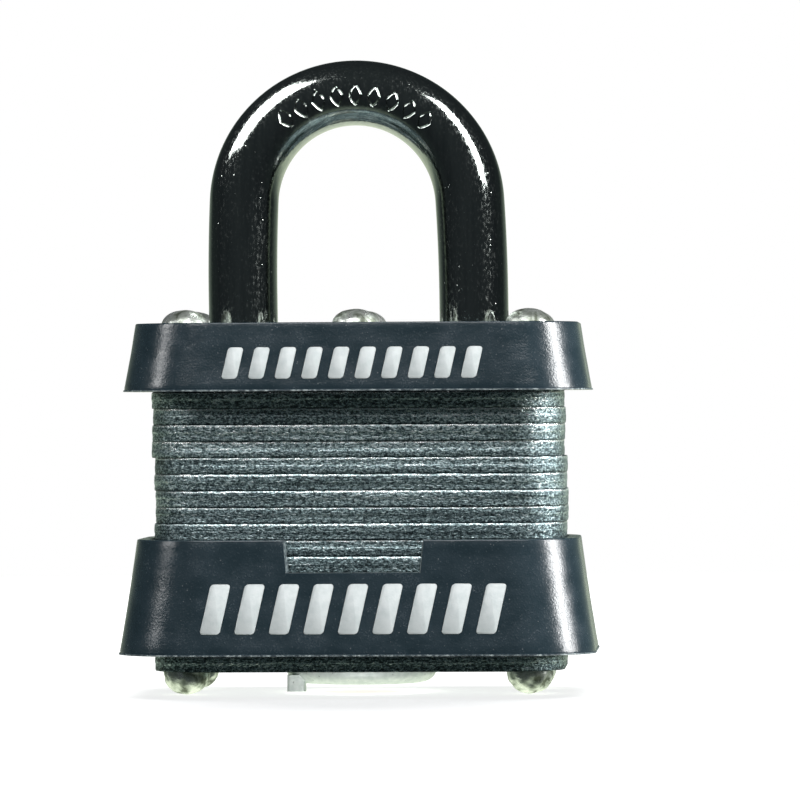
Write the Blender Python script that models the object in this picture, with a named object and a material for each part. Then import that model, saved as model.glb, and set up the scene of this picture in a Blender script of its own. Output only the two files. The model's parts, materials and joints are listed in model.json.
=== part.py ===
"""Laminated steel padlock with a hardened bar shackle, plastic bumpers and a pin cylinder.

The body is a stack of punched sheet plates held by rivets. The plates are numbered from the top.
Inside are two locking levers on a spring, a drive cam, and a pin cylinder whose plug turns the cam.
World axes: +Z up, +X to the right seen from the front, -Y is the front. The padlock stands on its
rivet ends at z = 0. All lengths below are in millimetres and are turned into metres by MM.
"""

import math

import bmesh
import bpy
from mathutils import Vector

MM = 0.001

# Driving dimensions: the plate stack
PLATE_COUNT = 21
PLATE_PITCH = 1.588
PLATE_GAP = 0.1
PLATE_WIDTH = 40.0
PLATE_DEPTH = 22.2
PLATE_CORNER = 6.0
STACK_BOTTOM = 2.4
CLEARANCE = 0.3

# Driving dimensions: the shackle. The bend squeezes the bar a little, and the legs splay out below it
BAR_RADIUS = 3.375
BEND_HALF_THICKNESS = 3.18
BEND_RADIUS = 11.08
SPLAY_ANGLE = math.radians(3)
CLEAR_WIDTH = 15.87
SHACKLE_TOP = 61.75
NECK_RADIUS = 2.2
COLLAR_RADIUS = 3.2
LIFT = 10.0

# Driving dimensions: levers and cam
LEVER_TRAVEL = 4.0
LEVER_TIP_X = 8.8
CAM_TURN = math.radians(60)
CAM_RADIUS = 5.3
CAM_TAIL_RADIUS = 2.7

# Driving dimensions: pin cylinder
PLUG_RADIUS = 5.0
SHELL_RADIUS = 6.1
SHELL_SLOT_HALF = 2.2
SHELL_BACK_Y = 9.4
GUARD_NECK_RADIUS = 6.3
PIN_COUNT = 4
PIN_PITCH = 4.0
PIN_RADIUS = 1.05
CHAMBER_RADIUS = 1.3
FIRST_PIN_Z = 6.6

# Driving dimensions: rivets and bumpers
RIVET_RADIUS = 1.5
RIVET_HEAD_RADIUS = 2.3
CORNER_RIVET_X = 16.7
CORNER_RIVET_Y = 5.6
MIDDLE_RIVET_Y = 7.4
BUMPER_TOP_RISE = 0.36

# Smoothness of round shapes, as sides of a full circle
CORNER_STEPS = 4
SHACKLE_SIDES = 16
ARCH_STEPS = 18
SPLAY_STEPS = 3
HOLE_SIDES = 12
SMALL_HOLE_SIDES = 8
RIVET_SIDES = 12
PLUG_SIDES = 24
PIN_SIDES = 10
SHARP_ANGLE = math.radians(35)

# Derived sizes shared by several pieces
LEG_X = CLEAR_WIDTH / 2 + BAR_RADIUS
ARCH_CENTRE_Z = SHACKLE_TOP - BEND_HALF_THICKNESS - BEND_RADIUS
CAM_PIN_ORBIT = LEVER_TRAVEL / (2 * math.sin(CAM_TURN / 2))
LEVER_PER_LIFT = LEVER_TRAVEL / LIFT
RIVET_HOLE_RADIUS = RIVET_RADIUS + CLEARANCE
LEG_HOLE_RADIUS = BAR_RADIUS + CLEARANCE + 0.05
BORE_RADIUS = PLUG_RADIUS + CLEARANCE
NOTCH_FLOOR_X = LEVER_TIP_X + CLEARANCE


def plate_top(number):
    """Height of a plate's upper face. Plate 1 is the highest."""
    stack_top = STACK_BOTTOM + PLATE_COUNT * PLATE_PITCH - PLATE_GAP
    return stack_top - (number - 1) * PLATE_PITCH


def plate_bottom(number):
    """Height of a plate's lower face."""
    return plate_top(number) - (PLATE_PITCH - PLATE_GAP)


# Heights of the mechanism, from the plates that hold it
LEVER_LOW = plate_bottom(4) + 0.2
LEVER_HIGH = plate_top(3) - 0.2
LEG_END_Z = plate_top(7) + CLEARANCE
CAM_LOW = plate_top(7) + CLEARANCE
CAM_HIGH = plate_top(5) - CLEARANCE
PLUG_LOW = STACK_BOTTOM - 0.1
PLUG_HIGH = plate_bottom(8) - CLEARANCE
SHELL_LOW = plate_bottom(20) + 0.2
SHELL_HIGH = plate_top(9) - 0.2
COLLAR_HIGH = plate_bottom(7) - LIFT - 0.2
COLLAR_LOW = COLLAR_HIGH - 2.0


# Outlines and solids


def circle(radius, sides, centre=(0.0, 0.0)):
    """Points of a circle, anticlockwise, with a flat side facing +X."""
    turn = 2 * math.pi / sides
    angles = [turn * (i + 0.5) for i in range(sides)]
    return [(centre[0] + radius * math.cos(a), centre[1] + radius * math.sin(a)) for a in angles]


def rectangle(x_low, x_high, y_low, y_high):
    """Corners of a rectangle, anticlockwise."""
    return [(x_low, y_low), (x_high, y_low), (x_high, y_high), (x_low, y_high)]


def rounded_rectangle(width, depth, radius):
    """Outline of a rectangle with round corners, anticlockwise from the right side."""
    points = []
    for quarter, (side_x, side_y) in enumerate(((1, 1), (-1, 1), (-1, -1), (1, -1))):
        centre_x = side_x * (width / 2 - radius)
        centre_y = side_y * (depth / 2 - radius)
        for step in range(CORNER_STEPS + 1):
            angle = (quarter + step / CORNER_STEPS) * math.pi / 2
            points.append((centre_x + radius * math.cos(angle), centre_y + radius * math.sin(angle)))
    return points


def keyhole(radius, slot_half_width, slot_end, sides):
    """A circle with a straight slot towards +Y, as one outline."""
    half_angle = math.asin(slot_half_width / radius)
    first = math.pi / 2 + half_angle
    sweep = 2 * math.pi - 2 * half_angle
    arc = [
        (radius * math.cos(first + sweep * i / sides), radius * math.sin(first + sweep * i / sides))
        for i in range(sides + 1)
    ]
    return arc + [(slot_half_width, slot_end), (-slot_half_width, slot_end)]


def at_height(outline, z):
    """An outline as a ring of points at one height."""
    return [Vector((x, y, z)) for x, y in outline]


def loft(rings, cyclic=False):
    """A closed body through rings with equal numbers of points, capped unless it closes on itself."""
    bm = bmesh.new()
    loops = [[bm.verts.new(point * MM) for point in ring] for ring in rings]
    pairs = list(zip(loops, loops[1:]))
    if cyclic:
        pairs.append((loops[-1], loops[0]))
    else:
        bm.faces.new(loops[0])
        bm.faces.new(loops[-1])
    for lower, upper in pairs:
        for i in range(len(lower)):
            j = (i + 1) % len(lower)
            bm.faces.new((lower[i], lower[j], upper[j], upper[i]))
    bmesh.ops.recalc_face_normals(bm, faces=bm.faces)
    return bm


def prism(outline, z_low, z_high):
    """An outline extruded upwards."""
    return loft([at_height(outline, z_low), at_height(outline, z_high)])


def turned(profile, sides, cyclic=False):
    """A body of revolution about Z from radius and height pairs."""
    return loft([at_height(circle(radius, sides), z) for radius, z in profile], cyclic)


def joined(bodies):
    """Several bodies in one mesh, for a tool with separate bodies."""
    whole = bmesh.new()
    for body in bodies:
        mesh = bpy.data.meshes.new("body")
        body.to_mesh(mesh)
        body.free()
        whole.from_mesh(mesh)
        bpy.data.meshes.remove(mesh)
    return whole


def rod_along_y(radius, sides, centre_x, centre_z, y_low, y_high):
    """A round rod along Y."""
    outline = circle(radius, sides)
    return loft([[Vector((centre_x + a, y, centre_z + b)) for a, b in outline] for y in (y_low, y_high)])


def rod_along_x(radius, sides, centre_z, x_low, x_high):
    """A round rod along X through y = 0."""
    outline = circle(radius, sides)
    return loft([[Vector((x, a, centre_z + b)) for a, b in outline] for x in (x_low, x_high)])


def coil_spring(wire_radius, coil_radius, length, turns, steps):
    """A helical wire spring along +Z that starts at z = 0."""
    wire_sides = 5
    count = round(turns * steps)
    climb = length - 2 * wire_radius
    rings = []
    for i in range(count + 1):
        angle = 2 * math.pi * i / steps
        outward = Vector((math.cos(angle), math.sin(angle), 0))
        centre = outward * coil_radius + Vector((0, 0, wire_radius + climb * i / count))
        rings.append(
            [centre + outward * x + Vector((0, 0, z)) for x, z in circle(wire_radius, wire_sides)]
        )
    return loft(rings)


# Objects, materials and Booleans


def clear_scene():
    for obj in list(bpy.data.objects):
        bpy.data.objects.remove(obj, do_unlink=True)


def make_material(name, colour, roughness, metallic):
    material = bpy.data.materials.new(name)
    material.use_nodes = True
    shader = material.node_tree.nodes["Principled BSDF"]
    shader.inputs["Base Color"].default_value = (*colour, 1.0)
    shader.inputs["Roughness"].default_value = roughness
    shader.inputs["Metallic"].default_value = metallic
    return material


def add_piece(name, bm, material, location=(0.0, 0.0, 0.0), rotation=(0.0, 0.0, 0.0)):
    """One named sub-part, placed by its location in millimetres and its rotation in radians."""
    mesh = bpy.data.meshes.new(name)
    bm.to_mesh(mesh)
    bm.free()
    mesh.materials.append(material)
    mesh.shade_smooth()
    mesh.set_sharp_from_angle(angle=SHARP_ANGLE)
    obj = bpy.data.objects.new(name, mesh)
    obj.location = Vector(location) * MM
    obj.rotation_euler = rotation
    bpy.context.scene.collection.objects.link(obj)
    return obj


def add_tool(name, bm):
    """A hidden body used only by Booleans."""
    mesh = bpy.data.meshes.new(name)
    bm.to_mesh(mesh)
    bm.free()
    obj = bpy.data.objects.new(name, mesh)
    obj.hide_render = True
    obj.display_type = "WIRE"
    bpy.context.scene.collection.objects.link(obj)
    return obj


def apply_tool(obj, tool, operation="DIFFERENCE"):
    modifier = obj.modifiers.new(tool.name, "BOOLEAN")
    modifier.operation = operation
    modifier.object = tool
    modifier.solver = "EXACT"


# The plate stack


def plate_cutters():
    """Each punched shape with the first and last plate that it is punched in."""
    low, high = 0.0, plate_top(1) + 5.0
    corner_rivets = [
        (x, y)
        for x in (-CORNER_RIVET_X, CORNER_RIVET_X)
        for y in (-CORNER_RIVET_Y, CORNER_RIVET_Y)
    ]
    middle_rivets = [(0.0, -MIDDLE_RIVET_Y), (0.0, MIDDLE_RIVET_Y)]
    legs = [(-LEG_X, 0.0), (LEG_X, 0.0)]
    heel = [(-LEG_X, 0.0)]
    centre = [(0.0, 0.0)]
    cavity_x, cavity_y = 8.2, 5.9
    channel_x, channel_y = 9.2, 2.7
    slot_half_width = NECK_RADIUS + CLEARANCE
    collar_hole_radius = COLLAR_RADIUS + 0.4

    def holes(centres, radius, sides):
        return joined([prism(circle(radius, sides, centre), low, high) for centre in centres])

    def box(x_low, x_high, y_half):
        return prism(rectangle(x_low, x_high, -y_half, y_half), low, high)

    seat = keyhole(SHELL_RADIUS + CLEARANCE, SHELL_SLOT_HALF + CLEARANCE, SHELL_BACK_Y + 1.0, HOLE_SIDES)
    shapes = [
        ("corner_rivets", holes(corner_rivets, RIVET_HOLE_RADIUS, SMALL_HOLE_SIDES), 1, 21),
        ("middle_rivets", holes(middle_rivets, RIVET_HOLE_RADIUS, SMALL_HOLE_SIDES), 1, 7),
        ("shackle_legs", holes(legs, LEG_HOLE_RADIUS, HOLE_SIDES), 1, 6),
        ("lever_cavity", box(-cavity_x, cavity_x, cavity_y), 3, 4),
        ("lever_channel", box(-channel_x, channel_x, channel_y), 3, 4),
        ("cam", holes(centre, CAM_RADIUS + CLEARANCE, HOLE_SIDES), 5, 6),
        ("collar_entry", holes(centre, collar_hole_radius, HOLE_SIDES), 7, 7),
        ("neck_slot", box(-LEG_X, 0.0, slot_half_width), 7, 7),
        ("neck_seat", holes(heel, slot_half_width + 0.02, HOLE_SIDES), 7, 7),
        ("heel", holes(heel, collar_hole_radius, HOLE_SIDES), 8, 19),
        ("cam_tail", holes(centre, CAM_TAIL_RADIUS + CLEARANCE, HOLE_SIDES), 8, 8),
        ("rivet_tails", holes(middle_rivets, RIVET_HEAD_RADIUS + 0.15, HOLE_SIDES), 8, 8),
        ("cylinder_seat", prism(seat, low, high), 9, 20),
        ("guard_seat", holes(centre, GUARD_NECK_RADIUS + CLEARANCE, PLUG_SIDES), 21, 21),
    ]
    return [(add_tool(f"cutter_{name}", bm), first, last) for name, bm, first, last in shapes]


def build_plates(zinc):
    outline = rounded_rectangle(PLATE_WIDTH, PLATE_DEPTH, PLATE_CORNER)
    cutters = plate_cutters()
    for number in range(1, PLATE_COUNT + 1):
        blank = prism(outline, plate_bottom(number), plate_top(number))
        plate = add_piece(f"plate_{number:02d}", blank, zinc)
        for cutter, first, last in cutters:
            if first <= number <= last:
                apply_tool(plate, cutter)


# Rivets


def rivet_profile(shank_low, shank_high, low_dome, high_dome):
    """Radius and height pairs of a rivet with a flat-topped dome at each end."""
    flat = 0.95
    shoulder = 0.35

    def dome(face_z, height):
        """From the flat tip to the rim of one head that bears on face_z."""
        return [
            (flat, face_z + height),
            (0.78 * RIVET_HEAD_RADIUS, face_z + 0.84 * height),
            (RIVET_HEAD_RADIUS, face_z + shoulder * height),
            (RIVET_HEAD_RADIUS, face_z),
        ]

    lower = dome(shank_low, -low_dome)
    upper = dome(shank_high, high_dome)
    return lower + [(RIVET_RADIUS, shank_low), (RIVET_RADIUS, shank_high)] + upper[::-1]


def build_rivets(steel):
    head_seat = plate_top(1) + 0.15
    head_height = 1.55
    end_seat = STACK_BOTTOM - 0.15
    tail_seat = plate_bottom(7) - 0.15
    corner = rivet_profile(end_seat, head_seat, end_seat, head_height)
    middle = rivet_profile(tail_seat, head_seat, 1.0, head_height)
    for side_x, x in (("left", -CORNER_RIVET_X), ("right", CORNER_RIVET_X)):
        for side_y, y in (("front", -CORNER_RIVET_Y), ("back", CORNER_RIVET_Y)):
            add_piece(f"rivet_{side_y}_{side_x}", turned(corner, RIVET_SIDES), steel, (x, y, 0.0))
    for side_y, y in (("front", -MIDDLE_RIVET_Y), ("back", MIDDLE_RIVET_Y)):
        add_piece(f"rivet_{side_y}_middle", turned(middle, RIVET_SIDES), steel, (0.0, y, 0.0))


# Bumpers


def bumper_band(bottom_z, top_z, bottom_width, top_width):
    """A drafted band round the stack that flares a little more towards its foot, with broken edges."""
    edge = 0.25
    flare = 0.13
    depth_less = PLATE_WIDTH - PLATE_DEPTH
    corner_more = 1.5

    def width_at(share):
        """Width of the outer wall, from share 0 at the foot to 1 at the top."""
        down = 1 - share
        return top_width + (bottom_width - top_width) * ((1 - flare) * down + flare * down * down)

    wall = [(width_at(share), bottom_z + share * (top_z - bottom_z)) for share in (0.04, 0.35, 0.65, 0.96)]
    stations = [(bottom_width - 2 * edge, bottom_z), *wall, (top_width - 2 * edge, top_z)]
    rings = [
        at_height(rounded_rectangle(width, width - depth_less, PLATE_CORNER + corner_more), z)
        for width, z in stations
    ]
    bore = rounded_rectangle(
        PLATE_WIDTH + 2 * CLEARANCE, PLATE_DEPTH + 2 * CLEARANCE, PLATE_CORNER + CLEARANCE
    )
    rings += [at_height(bore, top_z), at_height(bore, bottom_z)]
    return loft(rings, cyclic=True)


def window_cutter(sill_z, top_z):
    """A tapered notch through the front and back walls of the lower bumper."""
    sill_half, top_half = 6.4, 6.95
    beyond = 20.0
    outline = [(-sill_half, sill_z), (sill_half, sill_z), (top_half, top_z + 2), (-top_half, top_z + 2)]
    return loft([[Vector((x, y, z)) for x, z in outline] for y in (-beyond, beyond)])


def build_bumpers(plastic):
    upper_top = plate_top(1) + BUMPER_TOP_RISE
    upper_bottom = plate_bottom(4)
    lower_top = plate_top(14) + 0.1
    lower_bottom = plate_bottom(20)
    window_sill = 11.95
    add_piece("upper_bumper", bumper_band(upper_bottom, upper_top, 45.2, 43.0), plastic)
    lower = add_piece("lower_bumper", bumper_band(lower_bottom, lower_top, 46.2, 42.9), plastic)
    apply_tool(lower, add_tool("cutter_window", window_cutter(window_sill, lower_top)))


# Shackle


def leg_stations(side):
    """Centre, direction, half thickness and half depth of a leg, from where it splays up to the bend."""
    offset = LEG_X - BEND_RADIUS * math.cos(SPLAY_ANGLE)
    top_z = ARCH_CENTRE_Z + BEND_RADIUS * math.sin(SPLAY_ANGLE)
    length = 2 * offset / math.tan(SPLAY_ANGLE)
    stations = []
    for step in range(SPLAY_STEPS):
        rise = step / SPLAY_STEPS
        centre = Vector((side * (LEG_X - offset * rise * rise), 0, top_z - length * (1 - rise)))
        slope = math.tan(SPLAY_ANGLE) * rise
        direction = Vector((-side * slope, 0, 1)).normalized()
        stations.append((centre, direction, BAR_RADIUS, BAR_RADIUS))
    return stations


def bend_stations():
    """Centre, direction, half thickness and half depth round the bend, from left to right."""
    first = math.pi - SPLAY_ANGLE
    sweep = math.pi - 2 * SPLAY_ANGLE
    stations = []
    for step in range(ARCH_STEPS + 1):
        angle = first - sweep * step / ARCH_STEPS
        outward = Vector((math.cos(angle), 0, math.sin(angle)))
        direction = Vector((math.sin(angle), 0, -math.cos(angle)))
        centre = Vector((0, 0, ARCH_CENTRE_Z)) + outward * BEND_RADIUS
        half_thickness = BAR_RADIUS + (BEND_HALF_THICKNESS - BAR_RADIUS) * math.sin(angle) ** 2
        stations.append((centre, direction, half_thickness, BAR_RADIUS))
    return stations


def shackle_stations():
    """The whole bar, from the heel's foot over the bend to the toe."""
    chamfer = 0.4
    up = Vector((0, 0, 1))
    foot = [
        (COLLAR_LOW, COLLAR_RADIUS),
        (COLLAR_HIGH, COLLAR_RADIUS),
        (COLLAR_HIGH, NECK_RADIUS),
        (LEG_END_Z, NECK_RADIUS),
        (LEG_END_Z, BAR_RADIUS - chamfer),
        (LEG_END_Z + chamfer, BAR_RADIUS),
    ]
    toe = [(LEG_END_Z + chamfer, BAR_RADIUS), (LEG_END_Z, BAR_RADIUS - chamfer)]
    stations = [(Vector((-LEG_X, 0, z)), up, radius, radius) for z, radius in foot]
    stations += leg_stations(-1) + bend_stations()
    stations += [(centre, -direction, *half) for centre, direction, *half in reversed(leg_stations(1))]
    stations += [(Vector((LEG_X, 0, z)), -up, radius, radius) for z, radius in toe]
    return stations


def notch_cutter(side):
    """The lever's notch in one leg: a flat floor, and below it a ramp as steep as the levers' travel."""
    inside_x = CLEAR_WIDTH / 2 - 1.0
    ramp_top = LEVER_LOW - 0.1
    ramp_low = ramp_top - (NOTCH_FLOOR_X - inside_x) / LEVER_PER_LIFT
    high = LEVER_HIGH + 0.2
    outline = [(inside_x, ramp_low), (NOTCH_FLOOR_X, ramp_top), (NOTCH_FLOOR_X, high), (inside_x, high)]
    y_half = 4.0
    return loft([[Vector((side * x, y, z)) for x, z in outline] for y in (-y_half, y_half)])


def build_shackle(chrome, steel):
    y_axis = Vector((0, 1, 0))
    section = circle(1.0, SHACKLE_SIDES)
    rings = []
    for centre, direction, half_thickness, half_depth in shackle_stations():
        across = y_axis.cross(direction) * half_thickness
        front_to_back = y_axis * half_depth
        rings.append([centre + across * a + front_to_back * b for a, b in section])
    shackle = add_piece("shackle", loft(rings), chrome)
    apply_tool(shackle, add_tool("cutter_heel_notch", notch_cutter(-1)))
    apply_tool(shackle, add_tool("cutter_toe_notch", notch_cutter(1)))
    spring_low = plate_top(20) + 0.2
    spring = coil_spring(0.35, 2.6, COLLAR_LOW - 0.2 - spring_low, turns=5, steps=10)
    add_piece("shackle_spring", spring, steel, (-LEG_X, 0.0, spring_low))


# Locking levers and cam


def lever_outline():
    """The left lever seen from above: a square head towards -X and a slotted arm along its +Y side."""
    head_half = 2.3
    head_back = -4.9
    shoulder_x = -7.9
    arm_low, arm_high = 2.75, 5.6
    arm_end = 0.6
    pin_x = -CAM_PIN_ORBIT * math.sin(CAM_TURN / 2)
    slot_half = 0.9
    slot_end = CAM_PIN_ORBIT + slot_half
    return [
        (-LEVER_TIP_X, -head_half),
        (head_back, -head_half),
        (head_back, arm_low),
        (pin_x - slot_half, arm_low),
        (pin_x - slot_half, slot_end),
        (pin_x + slot_half, slot_end),
        (pin_x + slot_half, arm_low),
        (arm_end, arm_low),
        (arm_end, arm_high),
        (shoulder_x, arm_high),
        (shoulder_x, head_half),
        (-LEVER_TIP_X, head_half),
    ]


def build_levers(brass, steel):
    pocket_floor = -7.1
    pocket_radius = 0.85
    middle_z = (LEVER_LOW + LEVER_HIGH) / 2
    spring_half_length = 6.9
    for name, turn in (("left_lever", 0.0), ("right_lever", math.pi)):
        lever = add_piece(name, prism(lever_outline(), LEVER_LOW, LEVER_HIGH), brass, rotation=(0, 0, turn))
        pocket = add_tool(
            f"cutter_{name}_pocket", rod_along_x(pocket_radius, PIN_SIDES, middle_z, pocket_floor, 0.0)
        )
        pocket.rotation_euler = (0, 0, turn)
        apply_tool(lever, pocket)
    spring = coil_spring(0.15, 0.5, 2 * spring_half_length, turns=9, steps=6)
    add_piece(
        "lever_spring", spring, steel, (-spring_half_length, 0.0, middle_z), rotation=(0, math.pi / 2, 0)
    )


def build_drive_cam(brass):
    tail_low = PLUG_HIGH + 0.25
    slot_high = tail_low + 1.8
    profile = [
        (CAM_TAIL_RADIUS, tail_low),
        (CAM_TAIL_RADIUS, CAM_LOW),
        (CAM_RADIUS, CAM_LOW),
        (CAM_RADIUS, CAM_HIGH),
    ]
    cam = add_piece("drive_cam", turned(profile, PLUG_SIDES), brass)
    pin_x = -CAM_PIN_ORBIT * math.sin(CAM_TURN / 2)
    pin_y = CAM_PIN_ORBIT * math.cos(CAM_TURN / 2)
    pins = [
        prism(circle(0.7, PIN_SIDES, (sign * pin_x, sign * pin_y)), CAM_HIGH - 0.5, LEVER_HIGH - CLEARANCE)
        for sign in (1, -1)
    ]
    apply_tool(cam, add_tool("cam_pins", joined(pins)), "UNION")
    slot = prism(rectangle(-4.0, 4.0, -1.05, 1.05), tail_low - 1.0, slot_high)
    apply_tool(cam, add_tool("cutter_cam_slot", slot))


# Cylinder


def chamber_rods(y_low, y_high):
    """One rod through each pin chamber."""
    return joined(
        [
            rod_along_y(CHAMBER_RADIUS, PIN_SIDES, 0.0, FIRST_PIN_Z + i * PIN_PITCH, y_low, y_high)
            for i in range(PIN_COUNT)
        ]
    )


def build_cylinder_shell(brass, steel):
    outline = keyhole(SHELL_RADIUS, SHELL_SLOT_HALF, SHELL_BACK_Y, PLUG_SIDES)
    shell = add_piece("cylinder_shell", prism(outline, SHELL_LOW, SHELL_HIGH), brass)
    bore = prism(circle(BORE_RADIUS, PLUG_SIDES), SHELL_LOW - 1.0, SHELL_HIGH + 1.0)
    apply_tool(shell, add_tool("cutter_plug_bore", bore))
    apply_tool(shell, add_tool("cutter_shell_chambers", chamber_rods(4.0, SHELL_BACK_Y + 1.0)))
    cover = prism(
        rectangle(-SHELL_SLOT_HALF + 0.2, SHELL_SLOT_HALF - 0.2, SHELL_BACK_Y + 0.2, SHELL_BACK_Y + 0.7),
        SHELL_LOW + 0.4,
        SHELL_HIGH - 0.4,
    )
    add_piece("pin_chamber_cover", cover, steel)


def build_key_plug(brass):
    plug = add_piece("key_plug", prism(circle(PLUG_RADIUS, PLUG_SIDES), PLUG_LOW, PLUG_HIGH), brass)
    tab = prism(rectangle(-2.1, 2.1, -0.75, 0.75), PLUG_HIGH - 0.5, PLUG_HIGH + 1.6)
    apply_tool(plug, add_tool("plug_tab", tab), "UNION")
    keyway = prism(rectangle(-0.8, 0.8, -3.9, 3.3), PLUG_LOW - 1.0, PLUG_HIGH - 2.2)
    apply_tool(plug, add_tool("cutter_keyway", keyway))
    apply_tool(plug, add_tool("cutter_plug_chambers", chamber_rods(1.5, PLUG_RADIUS + 1.0)))


def build_pins(brass, steel):
    """Key pins in the plug, and driver pins and springs in the shell, met at the plug's surface."""
    lie_back = (-math.pi / 2, 0.0, 0.0)
    spring_low = 7.65
    for i in range(PIN_COUNT):
        z = FIRST_PIN_Z + i * PIN_PITCH
        key_pin = turned([(0.25, 2.0), (PIN_RADIUS, 2.8), (PIN_RADIUS, 4.75)], PIN_SIDES)
        driver_pin = turned([(PIN_RADIUS, 5.55), (PIN_RADIUS, 7.45)], PIN_SIDES)
        pin_spring = coil_spring(0.15, 0.75, SHELL_BACK_Y - spring_low, turns=3, steps=8)
        add_piece(f"key_pin_{i + 1}", key_pin, brass, (0.0, 0.0, z), lie_back)
        add_piece(f"driver_pin_{i + 1}", driver_pin, brass, (0.0, 0.0, z), lie_back)
        add_piece(f"pin_spring_{i + 1}", pin_spring, steel, (0.0, spring_low, z), lie_back)


def build_keyway_guard(zinc):
    """The flanged ring that closes the cylinder seat, with one turned-down ear at its front left."""
    face_z = 0.9
    lip_radius, flange_radius = 4.4, 7.3
    flange_top = STACK_BOTTOM - 0.2
    neck_top = plate_bottom(20) - CLEARANCE
    lip_top = PLUG_LOW - CLEARANCE
    profile = [
        (lip_radius, face_z),
        (5.6, face_z),
        (6.8, face_z + 0.35),
        (flange_radius, face_z + 0.9),
        (flange_radius, flange_top),
        (GUARD_NECK_RADIUS, flange_top),
        (GUARD_NECK_RADIUS, neck_top),
        (BORE_RADIUS, neck_top),
        (BORE_RADIUS, lip_top),
        (lip_radius, lip_top),
    ]
    guard = add_piece("keyway_guard", turned(profile, PLUG_SIDES, cyclic=True), zinc)
    ear = prism(rectangle(-7.0, -5.2, -4.4, -3.0), 0.2, flange_top - 0.3)
    apply_tool(guard, add_tool("guard_ear", ear), "UNION")


def main():
    clear_scene()
    zinc = make_material("zinc_plated_steel", (0.43, 0.45, 0.44), 0.42, 1.0)
    steel = make_material("bright_steel", (0.62, 0.60, 0.56), 0.35, 1.0)
    chrome = make_material("dark_chrome", (0.30, 0.28, 0.24), 0.12, 1.0)
    plastic = make_material("slate_plastic", (0.075, 0.09, 0.11), 0.45, 0.0)
    brass = make_material("brass", (0.72, 0.55, 0.27), 0.35, 1.0)
    build_plates(zinc)
    build_rivets(steel)
    build_bumpers(plastic)
    build_shackle(chrome, steel)
    build_levers(brass, steel)
    build_drive_cam(brass)
    build_cylinder_shell(brass, steel)
    build_key_plug(brass)
    build_pins(brass, steel)
    build_keyway_guard(zinc)


main()
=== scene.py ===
"""Looks of the laminated padlock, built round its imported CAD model.

Lengths are in millimetres, turned into metres by MM, in the frame of the CAD: +Z up, -Y the front.
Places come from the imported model's boxes. The plates, bumpers, shackle, rivets, keyway guard and the
face of the key plug are rebuilt finely in mesh code and stand for their CAD nodes. The mechanism
inside keeps its CAD shapes and gets machined brass and spring steel.
"""

import json
import math
import random

import bmesh
import bpy
from mathutils import Matrix, Quaternion, Vector, noise


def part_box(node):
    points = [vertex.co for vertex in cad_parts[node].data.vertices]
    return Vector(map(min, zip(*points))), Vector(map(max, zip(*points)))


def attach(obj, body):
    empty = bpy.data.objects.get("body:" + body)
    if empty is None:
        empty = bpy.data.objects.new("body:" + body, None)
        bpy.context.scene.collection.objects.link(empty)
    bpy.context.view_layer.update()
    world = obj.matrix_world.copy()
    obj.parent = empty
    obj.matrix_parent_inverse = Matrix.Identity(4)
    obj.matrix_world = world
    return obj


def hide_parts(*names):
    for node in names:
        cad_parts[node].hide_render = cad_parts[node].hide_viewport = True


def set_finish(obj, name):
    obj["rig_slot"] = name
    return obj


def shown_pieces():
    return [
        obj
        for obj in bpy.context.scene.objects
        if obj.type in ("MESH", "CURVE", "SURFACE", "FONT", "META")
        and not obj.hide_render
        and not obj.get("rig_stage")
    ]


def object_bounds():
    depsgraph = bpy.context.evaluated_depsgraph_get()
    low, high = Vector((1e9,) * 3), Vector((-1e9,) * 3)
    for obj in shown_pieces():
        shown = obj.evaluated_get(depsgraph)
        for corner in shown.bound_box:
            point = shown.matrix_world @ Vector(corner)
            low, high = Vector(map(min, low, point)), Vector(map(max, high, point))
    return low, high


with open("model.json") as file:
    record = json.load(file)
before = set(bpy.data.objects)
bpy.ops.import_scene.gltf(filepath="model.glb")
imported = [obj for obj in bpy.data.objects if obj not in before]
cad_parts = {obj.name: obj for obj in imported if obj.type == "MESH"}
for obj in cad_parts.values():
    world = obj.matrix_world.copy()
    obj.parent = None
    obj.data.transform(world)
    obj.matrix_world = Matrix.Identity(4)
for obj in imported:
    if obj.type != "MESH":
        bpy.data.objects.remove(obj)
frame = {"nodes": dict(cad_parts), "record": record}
cad_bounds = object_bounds()

MM = 0.001
SEED = 21

# Plates
PLATE_COUNT = 21
PLATE_CORNER = 6.0
EDGE_SPACING = 0.24  # between the points along a plate's edge
SHIFT = 0.1  # how far a plate may lie out of line, each way
SKIN = 0.048  # added to both faces of a plate, so that neighbours nearly touch
STACK_STEP_Z = 24.0  # the plates below this height lie a step to the right
STACK_STEP = 0.24
EDGE_SET_BACK = 0.07
EDGE_WANDER = 0.10  # how far the line between the smooth and the torn half wanders, of the thickness
TEAR_COARSE, TEAR_FINE = 0.045, 0.03
HOLE_MARGIN, HOLE_BEYOND = 0.6, 1.0
COPY_THICKENING = 0.2
LEG_BORE_GAP = 0.36
LOWEST_BORED_PLATE = "plate_07"  # the bar's legs and the middle rivets end here

# A plate's sheared edge: share of the thickness, how far it stands out, and share of the torn grit
SHEARED_EDGE = (
    (0.0, -0.06, 0.15),
    (0.05, -0.03, 0.5),
    (0.14, -0.03, 1.0),
    (0.28, -0.035, 1.0),
    (0.42, -0.03, 1.0),
    (0.50, 0.0, 0.6),
    (0.55, 0.018, 0.25),
    (0.70, 0.01, 0.22),
    (0.85, 0.0, 0.22),
    (0.94, -0.015, 0.15),
    (1.0, -0.07, 0.0),
)

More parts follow.
